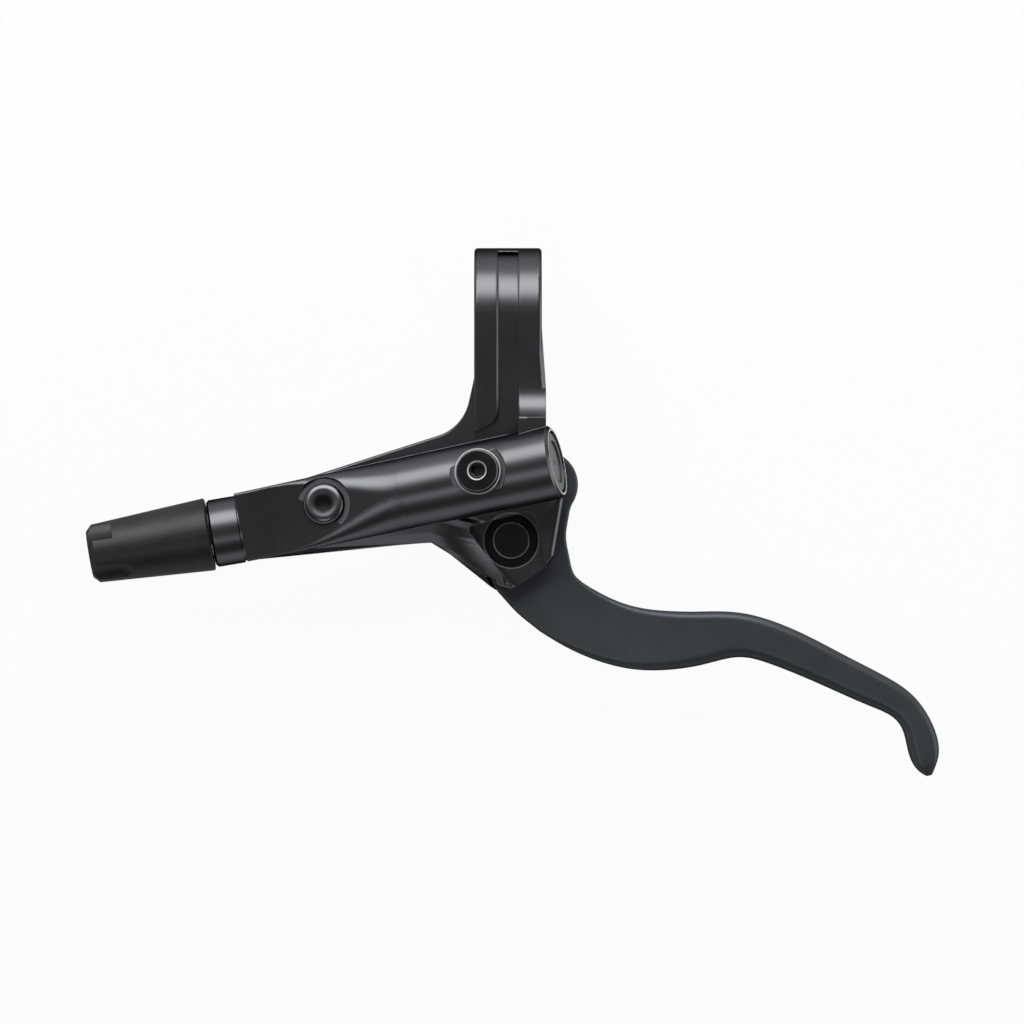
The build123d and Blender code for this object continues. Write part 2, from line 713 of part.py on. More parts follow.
# Pivot axle with its head on top and a clip underneath
with BuildPart() as axle:
    with BuildSketch(pivot_plane.offset(axle_bottom)):
        Circle(axle_diameter / 2)
    extrude(amount=axle_top - axle_bottom)
    with BuildSketch(pivot_plane.offset(axle_top - axle_head_thickness)):
        Circle(axle_head_diameter / 2)
    extrude(amount=axle_head_thickness)
    chamfer(faces().sort_by(Axis.Z)[-1].edges(), 0.25)
    chamfer(faces().sort_by(Axis.Z)[0].edges(), 0.3)
    with BuildSketch(pivot_plane.offset(clip_bottom)):
        Circle(axle_diameter / 2 + 1)
        Circle(clip_groove_radius, mode=Mode.SUBTRACT)
    extrude(amount=axle_clip_thickness + 2 * seat_clearance, mode=Mode.SUBTRACT)
axle.part.label = "pivot_axle"
export_step(axle.part, "parts/pivot_axle.step")

# Clip in the axle's groove, open on one side
with BuildPart() as clip:
    with BuildSketch(pivot_plane.offset(clip_bottom + seat_clearance)):
        Circle(axle_diameter / 2 + 1.6)
        Circle(clip_groove_radius + seat_clearance, mode=Mode.SUBTRACT)
        with Locations((axle_diameter / 2, 0)):
            Rectangle(axle_diameter, axle_diameter * 0.62, mode=Mode.SUBTRACT)
    extrude(amount=axle_clip_thickness)
clip.part.label = "axle_clip"
export_step(clip.part, "parts/axle_clip.step")

# Bushes pressed into the ears
with BuildPart() as upper_bush:
    with BuildSketch(pivot_plane.offset(half_slot)):
        Circle(bush_radius)
    extrude(amount=bush_flange_seat - half_slot)
    with BuildSketch(pivot_plane.offset(bush_flange_seat)):
        Circle(bush_flange_diameter / 2)
    extrude(amount=bush_flange_thickness)
    fillet(faces().sort_by(Axis.Z)[-1].edges(), 0.25)
    with BuildSketch(pivot_plane.offset(half_slot)):
        Circle(axle_diameter / 2 + bush_bore_clearance)
    extrude(amount=bush_flange_top - half_slot, mode=Mode.SUBTRACT)
    with BuildSketch(pivot_plane.offset(axle_top - axle_head_thickness - bush_bore_clearance)):
        Circle(axle_head_diameter / 2 + 2 * bush_bore_clearance)
    extrude(amount=bush_flange_thickness, mode=Mode.SUBTRACT)
upper_bush.part.label = "upper_bush"
export_step(upper_bush.part, "parts/upper_bush.step")

with BuildPart() as lower_bush:
    with BuildSketch(pivot_plane.offset(-half_slot)):
        Circle(bush_radius)
    extrude(amount=ear_bottom + bush_flange_thickness + half_slot)
    with BuildSketch(pivot_plane.offset(ear_bottom)):
        Circle(bush_flange_diameter / 2)
    extrude(amount=bush_flange_thickness)
    with BuildSketch(pivot_plane.offset(ear_bottom)):
        Circle(axle_diameter / 2 + bush_bore_clearance)
    extrude(amount=-ear_bottom - half_slot, mode=Mode.SUBTRACT)
lower_bush.part.label = "lower_bush"
export_step(lower_bush.part, "parts/lower_bush.step")

# Thrust washers on both faces of the lever's hub
with BuildPart() as thrust_washers:
    for level in (root_half_height + seat_clearance, -root_half_height - seat_clearance - washer_thickness):
        with BuildSketch(pivot_plane.offset(level)):
            Circle(hub_radius - 0.9)
            Circle(axle_diameter / 2 + seat_clearance, mode=Mode.SUBTRACT)
        extrude(amount=washer_thickness)
thrust_washers.part.label = "thrust_washers"
export_step(thrust_washers.part, "parts/thrust_washers.step")

# Trunnion in the knuckle, drilled across for the pushrod
with BuildPart() as barrel_nut:
    with BuildSketch(Plane.XY.offset(-root_half_height + 0.1)):
        with Locations((trunnion.X, trunnion.Y)):
            Circle(trunnion_diameter / 2)
    extrude(amount=2 * root_half_height - 0.2)
    with BuildSketch(rod_end_plane):
        Circle(pushrod_diameter / 2 + seat_clearance)
    extrude(amount=2 * trunnion_diameter, both=True, mode=Mode.SUBTRACT)
barrel_nut.part.label = "trunnion"
export_step(barrel_nut.part, "parts/trunnion.step")

# Pushrod: ball, neck, threaded shank and hex socket for setting the reach
with BuildPart() as pushrod:
    with BuildSketch(rod_plane):
        with BuildLine():
            ball_radius = ball_diameter / 2
            neck_radius = pushrod_neck_diameter / 2
            neck_start = sqrt(ball_radius**2 - neck_radius**2)
            shank_start = pushrod_length - trunnion_diameter - 4
            shank_end = pushrod_length + pushrod_tail
            ThreePointArc((-ball_radius, 0), (0, ball_radius), (neck_start, neck_radius))
            Polyline(
                (neck_start, neck_radius),
                (shank_start - 0.5, neck_radius),
                (shank_start, pushrod_diameter / 2),
                (shank_end - 0.4, pushrod_diameter / 2),
                (shank_end, pushrod_diameter / 2 - 0.4),
                (shank_end, 0),
                (-ball_radius, 0),
            )
        make_face()
    revolve(axis=rod_axis)
    with BuildSketch(rod_tail_plane):
        RegularPolygon(1.0, 6, major_radius=False)
    extrude(amount=-2.4, mode=Mode.SUBTRACT)
pushrod.part.label = "pushrod"
export_step(pushrod.part, "parts/pushrod.step")

# Piston with a socket for the ball and grooves for its two cups
with BuildPart() as piston:
    with BuildSketch(cylinder_plane):
        with BuildLine():
            socket_arc = ThreePointArc(
                (socket_at + socket_radius, 0),
                (socket_at + socket_radius * cos(pi / 4), socket_radius * sin(pi / 4)),
                (socket_at, socket_radius),
            )
            Polyline(
                (socket_at, socket_radius),
                (piston_rear, socket_radius),
                (piston_rear, piston_radius),
                (secondary_cup_at, piston_radius),
                (secondary_cup_at, cup_groove_diameter / 2),
                (secondary_cup_at + cup_width, cup_groove_diameter / 2),
                (secondary_cup_at + cup_width, piston_radius),
                (primary_cup_at, piston_radius),
                (primary_cup_at, cup_groove_diameter / 2),
                (primary_cup_at + cup_width, cup_groove_diameter / 2),
                (primary_cup_at + cup_width, piston_radius),
                (piston_front, piston_radius),
                (piston_front, piston_nose_diameter / 2),
                (piston_front + piston_nose_length, piston_nose_diameter / 2),
                (piston_front + piston_nose_length, 0),
                (socket_at + socket_radius, 0),
            )
        make_face()
    revolve(axis=cylinder_axis)
piston.part.label = "piston"
export_step(piston.part, "parts/piston.step")

# Lip seals on the piston
cup_inner = cup_groove_diameter / 2 + seat_clearance
cup_outer = bore_diameter / 2 - cup_clearance
cup_lip = (cup_outer - cup_inner) * 0.36
with BuildPart() as primary_cup:
    with BuildSketch(cylinder_plane):
        with BuildLine():
            Polyline(
                (primary_cup_at + seat_clearance, cup_inner),
                (primary_cup_at + seat_clearance, cup_outer - 0.25),
                (primary_cup_at + cup_width - seat_clearance, cup_outer),
                (primary_cup_at + cup_width - seat_clearance, cup_outer - cup_lip),
                (primary_cup_at + cup_width / 2, (cup_outer + cup_inner) / 2),
                (primary_cup_at + cup_width - seat_clearance, cup_inner + cup_lip),
                (primary_cup_at + cup_width - seat_clearance, cup_inner),
                close=True,
            )
        make_face()
    revolve(axis=cylinder_axis)
primary_cup.part.label = "primary_cup"
export_step(primary_cup.part, "parts/primary_cup.step")

with BuildPart() as secondary_cup:
    with BuildSketch(cylinder_plane):
        with BuildLine():
            Polyline(
                (secondary_cup_at + seat_clearance, cup_inner),
                (secondary_cup_at + seat_clearance, cup_outer - 0.25),
                (secondary_cup_at + cup_width - seat_clearance, cup_outer),
                (secondary_cup_at + cup_width - seat_clearance, cup_outer - cup_lip),
                (secondary_cup_at + cup_width / 2, (cup_outer + cup_inner) / 2),
                (secondary_cup_at + cup_width - seat_clearance, cup_inner + cup_lip),
                (secondary_cup_at + cup_width - seat_clearance, cup_inner),
                close=True,
            )
        make_face()
    revolve(axis=cylinder_axis)
secondary_cup.part.label = "secondary_cup"
export_step(secondary_cup.part, "parts/secondary_cup.step")

# Return spring between the piston and the bore's end
spring_start = foot + hoseward * (piston_front + spring_wire_diameter / 2 + seat_clearance)
spring_length = bore_end - piston_front - spring_wire_diameter - 2 * seat_clearance
with BuildPart() as spring:
    with BuildLine() as coil:
        Helix(spring_pitch, spring_length, spring_coil_diameter / 2, center=spring_start, direction=hoseward)
    with BuildSketch(Plane(origin=coil.line @ 0, z_dir=coil.line % 0)):
        Circle(spring_wire_diameter / 2)
    sweep(path=coil.line, is_frenet=True)
spring.part.label = "return_spring"
export_step(spring.part, "parts/return_spring.step")

# Stop washer and the snap ring that holds it in the cylinder's mouth
with BuildPart() as stop_washer:
    with BuildSketch(stop_plane):
        Circle(stop_bore_diameter / 2 - seat_clearance)
        Circle(socket_radius, mode=Mode.SUBTRACT)
    extrude(amount=-stop_washer_thickness)
stop_washer.part.label = "stop_washer"
export_step(stop_washer.part, "parts/stop_washer.step")

with BuildPart() as snap_ring:
    with BuildSketch(stop_plane.offset(-stop_washer_thickness)):
        Circle(snap_ring_diameter / 2)
        Circle(bore_diameter / 2 - 0.1, mode=Mode.SUBTRACT)
        with Locations((0, -snap_ring_diameter / 2)):
            Rectangle(bore_diameter / 2, snap_ring_diameter / 2, mode=Mode.SUBTRACT)
    extrude(amount=-snap_ring_thickness)
snap_ring.part.label = "snap_ring"
export_step(snap_ring.part, "parts/snap_ring.step")

# Clamp bolt from below, with its washer
with BuildPart() as clamp_bolt:
    with BuildSketch(Plane.XY.offset(bolt_seat)):
        with Locations((0, bolt_y)):
            Circle(bolt_diameter / 2)
    extrude(amount=bolt_engagement - bolt_seat)
    with BuildSketch(Plane.XY.offset(bolt_seat - bolt_head_height)):
        with Locations((0, bolt_y)):
            Circle(bolt_head_diameter / 2)
    extrude(amount=bolt_head_height)
    fillet(faces().sort_by(Axis.Z)[0].edges(), edge_radius)
    chamfer(faces().sort_by(Axis.Z)[-1].edges(), edge_radius)
    with BuildSketch(Plane.XY.offset(bolt_seat - bolt_head_height)):
        with Locations((0, bolt_y)):
            RegularPolygon(bolt_socket_flats / 2, 6, major_radius=False)
    extrude(amount=bolt_head_height * 0.65, mode=Mode.SUBTRACT)
clamp_bolt.part.label = "clamp_bolt"
export_step(clamp_bolt.part, "parts/clamp_bolt.step")

with BuildPart() as clamp_washer:
    with BuildSketch(Plane.XY.offset(bolt_seat)):
        with Locations((0, bolt_y)):
            Circle(bolt_head_diameter / 2 + 0.1)
            Circle(bolt_diameter / 2 + bolt_clearance, mode=Mode.SUBTRACT)
    extrude(amount=bolt_washer_thickness)
clamp_washer.part.label = "clamp_washer"
export_step(clamp_washer.part, "parts/clamp_washer.step")

# Bleed screw with a stepped head and hex socket, and its O-ring
with BuildPart() as bleed_screw:
    with BuildSketch(bleed_plane.offset(-bleed_thread_length)):
        Circle(bleed_thread_diameter / 2)
    extrude(amount=bleed_thread_length)
    with BuildSketch(bleed_plane):
        Circle(bleed_flange_diameter / 2)
    extrude(amount=bleed_flange_thickness)
    with BuildSketch(bleed_plane.offset(bleed_flange_thickness)):
        Circle(bleed_head_diameter / 2)
    extrude(amount=bleed_head_thickness)
    head_face = faces().sort_by_distance(bleed_seat + fitting_normal * 9)[0]
    chamfer(head_face.edges(), 0.3)
    with BuildSketch(bleed_plane.offset(bleed_flange_thickness + bleed_head_thickness)):
        RegularPolygon(bleed_socket_flats / 2, 6, major_radius=False)
    extrude(amount=-bleed_socket_depth, mode=Mode.SUBTRACT)
    with BuildSketch(bleed_plane.offset(bleed_flange_thickness + bleed_head_thickness)):
        Circle(bleed_socket_flats * 0.84)
    extrude(amount=-0.35, taper=35, mode=Mode.SUBTRACT)
bleed_screw.part.label = "bleed_screw"
export_step(bleed_screw.part, "parts/bleed_screw.step")

with BuildPart() as o_ring:
    with BuildSketch(Plane(origin=bleed_seat, x_dir=bleed_plane.x_dir, z_dir=bleed_plane.y_dir)):
        with Locations((o_ring_middle, o_ring_thickness / 2 + seat_clearance / 2)):
            Circle(o_ring_thickness / 2 - seat_clearance / 2)
    revolve(axis=Axis(bleed_seat, fitting_normal))
o_ring.part.label = "bleed_o_ring"
export_step(o_ring.part, "parts/bleed_o_ring.step")

# Domed plug over the port, dished in the middle
with BuildPart() as plug:
    with BuildSketch(Plane(origin=plug_seat, x_dir=plug_plane.x_dir, z_dir=plug_plane.y_dir * -1)):
        with BuildLine():
            Polyline(
                (0, plug_height - plug_dish),
                (0, -plug_shank_length),
                (plug_shank_diameter / 2, -plug_shank_length),
                (plug_shank_diameter / 2, 0),
                (plug_diameter / 2, 0),
                (plug_diameter / 2, plug_rim),
            )
            Spline(
                (plug_diameter / 2, plug_rim),
                (plug_crest_diameter / 2, plug_height),
                (0, plug_height - plug_dish),
                tangents=((0, 1), (-1, 0)),
            )
        make_face()
    revolve(axis=Axis(plug_seat, fitting_normal))
plug.part.label = "port_plug"
export_step(plug.part, "parts/port_plug.step")

# Reservoir cap with a vent and a dished middle, and the diaphragm behind it
with BuildPart() as cap:
    with BuildSketch(end_plane.offset(-cap_recess - cap_thickness)):
        Circle(cap_diameter / 2)
    extrude(amount=cap_thickness)
    chamfer(faces().sort_by(Axis(reservoir_root, reservoir_direction))[-1].edges(), 0.25)
    with BuildSketch(end_plane.offset(-cap_recess)):
        Circle(cap_dish_diameter / 2)
    extrude(amount=-0.4, mode=Mode.SUBTRACT)
    with BuildSketch(end_plane):
        Circle(cap_vent_diameter / 2)
    extrude(amount=-cap_recess - cap_thickness - 1, mode=Mode.SUBTRACT)
cap.part.label = "reservoir_cap"
export_step(cap.part, "parts/reservoir_cap.step")

with BuildPart() as diaphragm:
    with BuildSketch(reservoir_plane):
        with BuildLine():
            Polyline(
                (cap_seat + diaphragm_flange, diaphragm_diameter / 2 - diaphragm_wall),
                (cap_seat + diaphragm_flange, cap_diameter / 2),
                (cap_seat, cap_diameter / 2),
                (cap_seat, diaphragm_diameter / 2),
                (cap_seat - diaphragm_depth, diaphragm_diameter / 2 - 0.4),
                (cap_seat - diaphragm_depth, 0),
                (cap_seat - diaphragm_depth + diaphragm_wall, 0),
                (cap_seat - diaphragm_depth + diaphragm_wall, diaphragm_diameter / 2 - diaphragm_wall - 0.4),
                close=True,
            )
        make_face()
    revolve(axis=reservoir_axis)
diaphragm.part.label = "reservoir_diaphragm"
export_step(diaphragm.part, "parts/reservoir_diaphragm.step")

# Hose fitting: nut, olive and insert
with BuildPart() as hose_nut:
    with BuildSketch(port_plane):
        RegularPolygon(nut_flats / 2, 6, major_radius=False)
    extrude(amount=nut_head_length)
    with BuildSketch(port_plane):
        Circle(fitting_thread_diameter / 2 - seat_clearance)
    extrude(amount=nut_nose - neck_end)
    with BuildSketch(port_plane.offset(nut_head_length)):
        Circle(hose_radius)
    extrude(amount=nut_nose - neck_end - nut_head_length, mode=Mode.SUBTRACT)
hose_nut.part.label = "hose_nut"
export_step(hose_nut.part, "parts/hose_nut.step")

with BuildPart() as olive:
    with BuildSketch(cylinder_plane):
        with BuildLine():
            Polyline(
                (olive_start, hose_radius),
                (olive_start + 0.9, hose_radius + 0.75),
                (nut_nose - 0.9, hose_radius + 0.75),
                (nut_nose - seat_clearance, hose_radius + 0.4),
                (nut_nose - seat_clearance, hose_radius),
                close=True,
            )
        make_face()
    revolve(axis=cylinder_axis)
olive.part.label = "olive"
export_step(olive.part, "parts/olive.step")

with BuildPart() as insert:
    with BuildSketch(cylinder_plane):
        with BuildLine():
            Polyline(
                (hose_seat + seat_clearance, 0.75),
                (hose_seat + seat_clearance, hose_diameter / 2),
                (hose_seat + 0.9, hose_diameter / 2),
                (hose_seat + 0.9, 1.2),
                (neck_end + 1, 1.2),
                (neck_end + 2, 1.0),
                (neck_end + 2, 0.75),
                close=True,
            )
        make_face()
    revolve(axis=cylinder_axis)
insert.part.label = "hose_insert"
export_step(insert.part, "parts/hose_insert.step")

# Rubber boot over the nut, with four scallops to grip it by
with BuildPart() as boot:
    with BuildSketch(cylinder_plane):
        with BuildLine():
            Polyline(
                (boot_start, boot_cavity_radius),
                (boot_start, boot_large_diameter / 2 - 0.3),
                (boot_start + 0.3, boot_large_diameter / 2),
                (boot_end - boot_end_chamfer, boot_small_diameter / 2),
                (boot_end, boot_small_diameter / 2 - boot_end_chamfer),
                (boot_end, boot_bore_radius),
                (boot_cavity_end, boot_bore_radius),
                (boot_cavity_end, boot_cavity_radius),
                close=True,
            )
        make_face()
    revolve(axis=cylinder_axis)
    scallop_distance = boot_small_diameter / 2 + scallop_radius - scallop_depth
    with BuildSketch(boot_end_plane):
        with PolarLocations(scallop_distance, 4, start_angle=45):
            Circle(scallop_radius)
    extrude(amount=scallop_radius - scallop_length, mode=Mode.SUBTRACT)
    with Locations(boot_end_plane.offset(scallop_radius - scallop_length)):
        with PolarLocations(scallop_distance, 4, start_angle=45):
            Sphere(scallop_radius, mode=Mode.SUBTRACT)
boot.part.label = "hose_boot"
export_step(boot.part, "parts/hose_boot.step")
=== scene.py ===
from math import cos, pi, radians, sin

import bpy
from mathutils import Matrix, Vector


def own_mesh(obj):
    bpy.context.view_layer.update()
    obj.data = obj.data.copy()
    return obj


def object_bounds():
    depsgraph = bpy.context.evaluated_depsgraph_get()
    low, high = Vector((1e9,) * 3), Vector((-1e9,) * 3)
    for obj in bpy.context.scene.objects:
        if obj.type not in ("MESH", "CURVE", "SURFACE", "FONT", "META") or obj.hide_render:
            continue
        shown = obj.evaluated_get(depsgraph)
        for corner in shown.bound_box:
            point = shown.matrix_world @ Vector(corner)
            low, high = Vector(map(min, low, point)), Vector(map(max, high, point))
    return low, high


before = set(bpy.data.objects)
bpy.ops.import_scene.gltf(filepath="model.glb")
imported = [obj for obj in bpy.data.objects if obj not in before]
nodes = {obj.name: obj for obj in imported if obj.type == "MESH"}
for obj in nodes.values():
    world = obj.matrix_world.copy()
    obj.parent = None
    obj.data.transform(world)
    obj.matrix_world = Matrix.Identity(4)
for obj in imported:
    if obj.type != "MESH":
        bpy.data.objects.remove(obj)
cad_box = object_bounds()

MM = 0.001

# Picture: a square of 0.22 mm pixels, seen from straight above
PIXEL = 0.22 * MM
PICTURE_PIXELS = 1024
CENTRE = Vector((0.88 * MM, -43.56 * MM, 0.0))
CAMERA_HEIGHT = 1.75
SENSOR_WIDTH = 36.0

# Axes of round pieces, in the frame of the solids (mm)
BLEED_SEAT = (-6.4725, -34.8443, 20.2923)
PLUG_SEAT = (-40.1486, -41.8329, 13.2857)
FITTING_AXIS = (-0.13753, 0.156562, 0.978046)
PIVOT = (0.7, -49.8, 0.0)
PIVOT_AXIS = (0.0, 0.0, 1.0)
RESERVOIR_END = (10.7948, -32.5746, 16.7455)
RESERVOIR_AXIS = (0.959084, 0.199315, 0.201078)

# Edges of the casting look rounded by this radius, those of the strap's channel by more (mm)
CASTING_EDGE = 0.22
CHANNEL_EDGE = 0.8
CHANNEL_HALF_WIDTH = 4.2
CHANNEL_FOOT = -24.0

# Noise that all materials share: colour and gloss change between its values low and high
PATCH_SCALE = 70.0
PATCH_DETAIL = 5.0
PATCH_LOW = 0.3
PATCH_HIGH = 0.7
BUMP_DETAIL = 3.0
BUMP_HEIGHT = 0.1 * MM

# Rounded edges, and the cosines of their turn from which a painted highlight starts on them and where it is
# full
EDGE_SAMPLES = 12
HIGHLIGHT_STARTS = 0.95
HIGHLIGHT_FULL = 0.83

# Blue of the black lacquers against their red and green
BLUE_CAST = 1.04

# Studio: grey floor that looks white, and a dim world with a pale backdrop. Gloss shows the backdrop
# where a direction rises no more than top, and in full where it rises less than full.
FLOOR_SIZE = 12.0
FLOOR_GAP = 1.0 * MM
FLOOR_GREY = 0.6
FLOOR_WHITE = 0.95
WORLD_LEVEL = 0.09
BACKDROP_LEVEL = 0.97
BACKDROP_TOP = 0.18
BACKDROP_FULL = 0.08


def grey(level):
    """Colour of that level, opaque."""
    return (level, level, level, 1.0)


def feed(tree, socket, value):
    """Links value to the socket if value is a socket too, and otherwise sets it there."""
    if isinstance(value, bpy.types.NodeSocket):
        tree.links.new(value, socket)
    else:
        socket.default_value = value


def node(tree, kind, **inputs):
    """New shader node of that kind; input names are written with underscores."""
    n = tree.nodes.new("ShaderNode" + kind)
    for name, value in inputs.items():
        feed(tree, n.inputs[name.replace("_", " ")], value)
    return n


def operate(tree, kind, operation, *values):
    """Math or VectorMath node with its values in order."""
    n = tree.nodes.new("ShaderNode" + kind)
    n.operation = operation
    for socket, value in zip(n.inputs, values):
        feed(tree, socket, value)
    return n


def maths(tree, operation, *values):
    """Result of a Math node."""
    return operate(tree, "Math", operation, *values).outputs[0]


def ranged(tree, value, **limits):
    """Result of a Map Range node, which holds at its ends."""
    return node(tree, "MapRange", Value=value, **limits).outputs["Result"]


def mixed(tree, data_type, factor, a, b):
    """Result of a Mix node from a to b."""
    n = tree.nodes.new("ShaderNodeMix")
    n.data_type = data_type
    used = {i.name: i for i in n.inputs if i.enabled}
    for name, value in (("Factor", factor), ("A", a), ("B", b)):
        feed(tree, used[name], value)
    return next(o for o in n.outputs if o.enabled)


def mixed_shader(tree, factor, a, b):
    """Mix Shader node from node a to node b."""
    n = tree.nodes.new("ShaderNodeMixShader")
    for socket, value in zip(n.inputs, (factor, a.outputs[0], b.outputs[0])):
        feed(tree, socket, value)
    return n


def surface(
    name,
    color,
    rough,
    rough_spread=0.06,
    bump=0.1,
    bump_scale=900.0,
    grain=0.2,
    edge=0.0,
    worn=0.0,
    **sockets,
):
    """Principled material: colour, roughness and bump vary with noise.

    Edges look rounded by edge (mm), and where they turn a painted highlight lightens them towards the grey
    level given for it.
    """
    m = bpy.data.materials.new(name)
    m.use_nodes = True
    tree = m.node_tree
    shader = tree.nodes["Principled BSDF"]
    place = node(tree, "TexCoord").outputs["Object"]

    patches = node(tree, "TexNoise", Vector=place, Scale=PATCH_SCALE, Detail=PATCH_DETAIL).outputs["Fac"]
    tint = node(tree, "ValToRGB", Fac=patches)
    dark, light = tint.color_ramp.elements
    dark.position, light.position = PATCH_LOW, PATCH_HIGH
    dark.color = (*(c * (1 - grain) for c in color), 1.0)
    light.color = (*(c * (1 + grain) for c in color), 1.0)
    shade = tint.outputs["Color"]

    gloss = ranged(
        tree,
        patches,
        From_Min=PATCH_LOW,
        From_Max=PATCH_HIGH,
        To_Min=rough - rough_spread,
        To_Max=rough + rough_spread,
    )
    feed(tree, shader.inputs["Roughness"], gloss)

    fine = node(tree, "TexNoise", Vector=place, Scale=bump_scale, Detail=BUMP_DETAIL).outputs["Fac"]
    relief = node(tree, "Bump", Strength=bump, Distance=BUMP_HEIGHT, Height=fine)
    feed(tree, shader.inputs["Normal"], relief.outputs["Normal"])
    if edge:
        soft = node(tree, "Bevel", Radius=edge * MM)
        soft.samples = EDGE_SAMPLES
        feed(tree, relief.inputs["Normal"], soft.outputs["Normal"])
    # Painted highlight: edges and creases, convex and concave, turned towards a lighter grey
    if worn:
        plain = node(tree, "NewGeometry").outputs["Normal"]
        turn = operate(tree, "VectorMath", "DOT_PRODUCT", soft.outputs["Normal"], plain).outputs["Value"]
        edge_highlight_mask = ranged(tree, turn, From_Min=HIGHLIGHT_STARTS, From_Max=HIGHLIGHT_FULL)
        shade = mixed(tree, "RGBA", edge_highlight_mask, shade, grey(worn))
    feed(tree, shader.inputs["Base Color"], shade)
    for socket, value in sockets.items():
        shader.inputs[socket.replace("_", " ")].default_value = value
    return m


def gloss_black(name, level, rough, tint, **settings):
    """Dark lacquer: reflects level of the light straight on and less of it at a glancing angle."""
    shade = (level, level, level * BLUE_CAST)
    return surface(name, shade, rough, Metallic=1.0, Specular_Tint=grey(tint), **settings)


def painted_light_rings(m, centre, axis, depth, rings):
    """Paints rings round an axis in a plain grey that is not metallic: painted highlights on rims, or
    painted shade where the level is dark.

    Each ring is (radius, half width, level). Lengths are in mm, and depth is how far from the centre,
    along the axis, the rings end.
    """
    tree = m.node_tree
    shader = tree.nodes["Principled BSDF"]

    def near(distance, half_width):
        """1 where distance is small, 0 from half_width on."""
        size = maths(tree, "ABSOLUTE", distance)
        return ranged(tree, size, From_Min=half_width, From_Max=0.5 * half_width)

    place = node(tree, "TexCoord").outputs["Object"]
    offset = operate(tree, "VectorMath", "SUBTRACT", place, Vector(centre) * MM).outputs["Vector"]
    span = operate(tree, "VectorMath", "DOT_PRODUCT", offset, axis).outputs["Value"]
    arm = operate(tree, "VectorMath", "CROSS_PRODUCT", offset, axis).outputs["Vector"]
    reach = operate(tree, "VectorMath", "LENGTH", arm).outputs["Value"]
    close = near(span, depth * MM)
    for radius, half_width, level in rings:
        gap = maths(tree, "SUBTRACT", reach, radius * MM)
        mask = maths(tree, "MULTIPLY", near(gap, half_width * MM), close)
        for name, data_type, painted_value in (("Base Color", "RGBA", grey(level)), ("Metallic", "FLOAT", 0.0)):
            socket = shader.inputs[name]
            before = socket.links[0].from_socket if socket.is_linked else socket.default_value
            feed(tree, socket, mixed(tree, data_type, mask, before, painted_value))


def round_channel(m):
    """Edges of the strap's channel are rounder than the other edges of the casting."""
    tree = m.node_tree
    place = node(tree, "SeparateXYZ", Vector=node(tree, "TexCoord").outputs["Object"])
    inner = maths(tree, "COMPARE", place.outputs["X"], 0.0, CHANNEL_HALF_WIDTH * MM)
    upper = maths(tree, "GREATER_THAN", place.outputs["Y"], CHANNEL_FOOT * MM)
    channel = maths(tree, "MULTIPLY", inner, upper)
    radius = ranged(tree, channel, To_Min=CASTING_EDGE * MM, To_Max=CHANNEL_EDGE * MM)
    feed(tree, tree.nodes["Bevel"].inputs["Radius"], radius)


# Materials
paint = gloss_black(
    "body_paint",
    0.092,
    0.34,
    0.1,
    rough_spread=0.02,
    bump=0.05,
    bump_scale=1500,
    grain=0.06,
    edge=CASTING_EDGE,
    worn=0.12,
)
satin = surface(
    "lever_black",
    (0.068, 0.069, 0.076),
    0.4,
    rough_spread=0.04,
    bump=0.2,
    bump_scale=2600,
    grain=0.08,
    Metallic=0.5,
    Specular_IOR_Level=0.0,
    Specular_Tint=grey(0.05),
)
rubber = surface(
    "boot_rubber",
    (0.042, 0.042, 0.043),
    0.5,
    rough_spread=0.05,
    bump=0.25,
    bump_scale=2200,
    Metallic=0.85,
    Specular_IOR_Level=0.0,
    Specular_Tint=grey(0.6),
)
seal = surface("seal_rubber", (0.008, 0.008, 0.008), 0.45, rough_spread=0.05, bump=0.2)
black_steel = gloss_black(
    "black_steel", 0.05, 0.2, 0.1, rough_spread=0.03, bump=0.05, bump_scale=1800, edge=0.2
)
axle_black = gloss_black(
    "axle_black", 0.035, 0.3, 0.1, rough_spread=0.05, bump=0.1, bump_scale=1600, edge=0.2
)
steel = surface("bright_steel", (0.5, 0.5, 0.52), 0.3, Metallic=1.0)
aluminium = surface("bare_aluminium", (0.6, 0.6, 0.62), 0.35, Metallic=1.0)
brass = surface("brass", (0.6, 0.42, 0.16), 0.3, Metallic=1.0)
dome = gloss_black("plug_plastic", 0.11, 0.28, 0.1, rough_spread=0.02, bump=0.03, bump_scale=1500)
moulding = surface("cap_plastic", (0.045, 0.045, 0.047), 0.45, rough_spread=0.05, bump=0.2, bump_scale=2000)
bearing = surface(
    "bush_plastic", (0.003, 0.003, 0.003), 0.4, rough_spread=0.05, bump=0.15, Specular_IOR_Level=0.15
)

round_channel(paint)
# Painted highlights as bright rings on the rims of the bleed screw, the axle, the ear and the barrel's end,
# and painted shade as a dark middle on the plug
BLEED_HIGHLIGHT_RINGS = [(4.94, 0.18, 0.55), (4.5, 0.16, 0.12), (2.0, 0.19, 0.55)]
# Painted highlights: bright rings on the bleed screw's head and hex
painted_light_rings(black_steel, BLEED_SEAT, FITTING_AXIS, 10.0, BLEED_HIGHLIGHT_RINGS)
painted_light_rings(axle_black, PIVOT, PIVOT_AXIS, 24.0, [(3.95, 0.24, 0.3)])
# Painted shade: the plug's middle set nearly black and not metallic, in place of its reflection
painted_light_rings(dome, PLUG_SEAT, FITTING_AXIS, 20.0, [(0.0, 3.4, 0.006)])
painted_light_rings(paint, PIVOT, PIVOT_AXIS, 24.0, [(6.0, 0.26, 0.18)])
painted_light_rings(paint, RESERVOIR_END, RESERVOIR_AXIS, 2.0, [(7.15, 0.28, 0.5)])

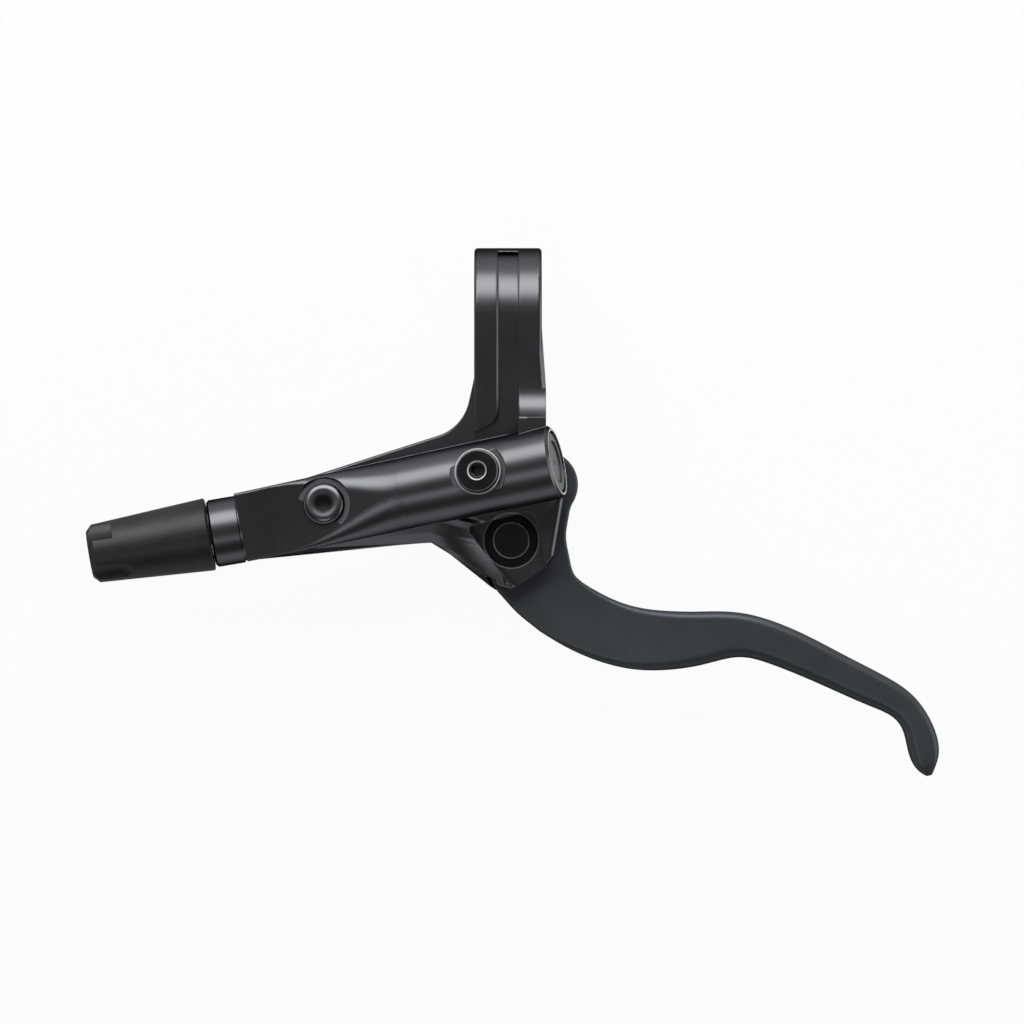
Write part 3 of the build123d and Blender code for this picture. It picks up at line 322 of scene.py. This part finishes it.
FINISH = {
    "master_cylinder_body": paint,
    "lever_blade": satin,
    "hose_boot": rubber,
    "bleed_screw": black_steel,
    "bleed_o_ring": seal,
    "port_plug": dome,
    "reservoir_cap": moulding,
    "reservoir_diaphragm": seal,
    "upper_bush": bearing,
    "lower_bush": bearing,
    "thrust_washers": bearing,
    "pivot_axle": axle_black,
    "axle_clip": steel,
    "trunnion": steel,
    "pushrod": steel,
    "piston": aluminium,
    "primary_cup": seal,
    "secondary_cup": seal,
    "return_spring": steel,
    "stop_washer": steel,
    "snap_ring": steel,
    "clamp_bolt": black_steel,
    "clamp_washer": black_steel,
    "hose_nut": aluminium,
    "olive": brass,
    "hose_insert": brass,
}
for name, m in FINISH.items():
    nodes[name].data.materials.clear()
    nodes[name].data.materials.append(m)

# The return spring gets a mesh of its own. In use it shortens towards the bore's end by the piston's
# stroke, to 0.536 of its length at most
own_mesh(nodes["return_spring"])

# Floor just under the object, white to the camera and keeping a soft shadow
bpy.ops.mesh.primitive_plane_add(size=FLOOR_SIZE, location=(0.0, 0.0, cad_box[0][2] - FLOOR_GAP))
floor = bpy.context.object
floor.name = "floor"
ground = bpy.data.materials.new("floor")
ground.use_nodes = True
tree = ground.node_tree
tree.nodes.remove(tree.nodes["Principled BSDF"])
ray = node(tree, "LightPath").outputs
seen = maths(tree, "MAXIMUM", ray["Is Camera Ray"], ray["Is Glossy Ray"])
seen = maths(tree, "MAXIMUM", seen, ray["Is Transmission Ray"])
white = maths(tree, "MULTIPLY", seen, FLOOR_WHITE)
top = mixed_shader(tree, white, node(tree, "BsdfDiffuse", Color=grey(FLOOR_GREY)), node(tree, "Emission"))
# Its underside is clear, so that views from below see the object
underside = node(tree, "NewGeometry").outputs["Backfacing"]
both = mixed_shader(tree, underside, top, node(tree, "BsdfTransparent"))
feed(tree, tree.nodes["Material Output"].inputs["Surface"], both.outputs[0])
floor.data.materials.append(ground)

# World: the camera sees a pale backdrop, and gloss shows it round the horizon
world = bpy.data.worlds.new("studio")
bpy.context.scene.world = world
world.use_nodes = True
tree = world.node_tree
sky = tree.nodes["Background"]
sky.inputs["Color"].default_value = grey(1.0)
ray = node(tree, "LightPath").outputs
direction = node(tree, "SeparateXYZ", Vector=node(tree, "TexCoord").outputs["Generated"])
horizon = ranged(tree, direction.outputs["Z"], From_Min=BACKDROP_TOP, From_Max=BACKDROP_FULL)
bounced = maths(tree, "MAXIMUM", ray["Is Glossy Ray"], ray["Is Transmission Ray"])
shown = maths(tree, "MULTIPLY", bounced, horizon)
seen = maths(tree, "MAXIMUM", ray["Is Camera Ray"], shown)
feed(tree, sky.inputs["Strength"], ranged(tree, seen, To_Min=WORLD_LEVEL, To_Max=BACKDROP_LEVEL))


def softbox(name, zenith, azimuth, distance, width, height, radiance):
    """Area light that faces the object from zenith degrees off the vertical.

    Azimuth 0 is towards +Y and 90 towards +X.
    """
    lamp = bpy.data.lights.new(name, "AREA")
    lamp.shape = "RECTANGLE"
    lamp.size = width
    lamp.size_y = height
    lamp.energy = pi * width * height * radiance
    o = bpy.data.objects.new(name, lamp)
    bpy.context.scene.collection.objects.link(o)
    z = radians(zenith)
    a = radians(azimuth)
    away = Vector((sin(z) * sin(a), sin(z) * cos(a), cos(z)))
    o.location = CENTRE + away * distance
    o.rotation_euler = away.to_track_quat("Z", "Y").to_euler()


softbox("main_softbox", zenith=52, azimuth=-12, distance=1.2, width=1.5, height=0.85, radiance=5.6)
softbox("fill_softbox", zenith=29, azimuth=206, distance=1.4, width=0.6, height=0.35, radiance=2.9)
softbox("side_softbox", zenith=75, azimuth=90, distance=1.2, width=1.0, height=0.6, radiance=2.6)

# Camera
camera = bpy.data.cameras.new("camera")
camera.sensor_fit = "HORIZONTAL"
camera.sensor_width = SENSOR_WIDTH
camera.lens = SENSOR_WIDTH * CAMERA_HEIGHT / (PICTURE_PIXELS * PIXEL)
camera.clip_start = 0.05
camera.clip_end = 30.0
view = bpy.data.objects.new("camera", camera)
bpy.context.scene.collection.objects.link(view)
view.location = CENTRE + Vector((0.0, 0.0, CAMERA_HEIGHT))
bpy.context.scene.camera = view
bpy.context.scene.view_settings.view_transform = "Standard"
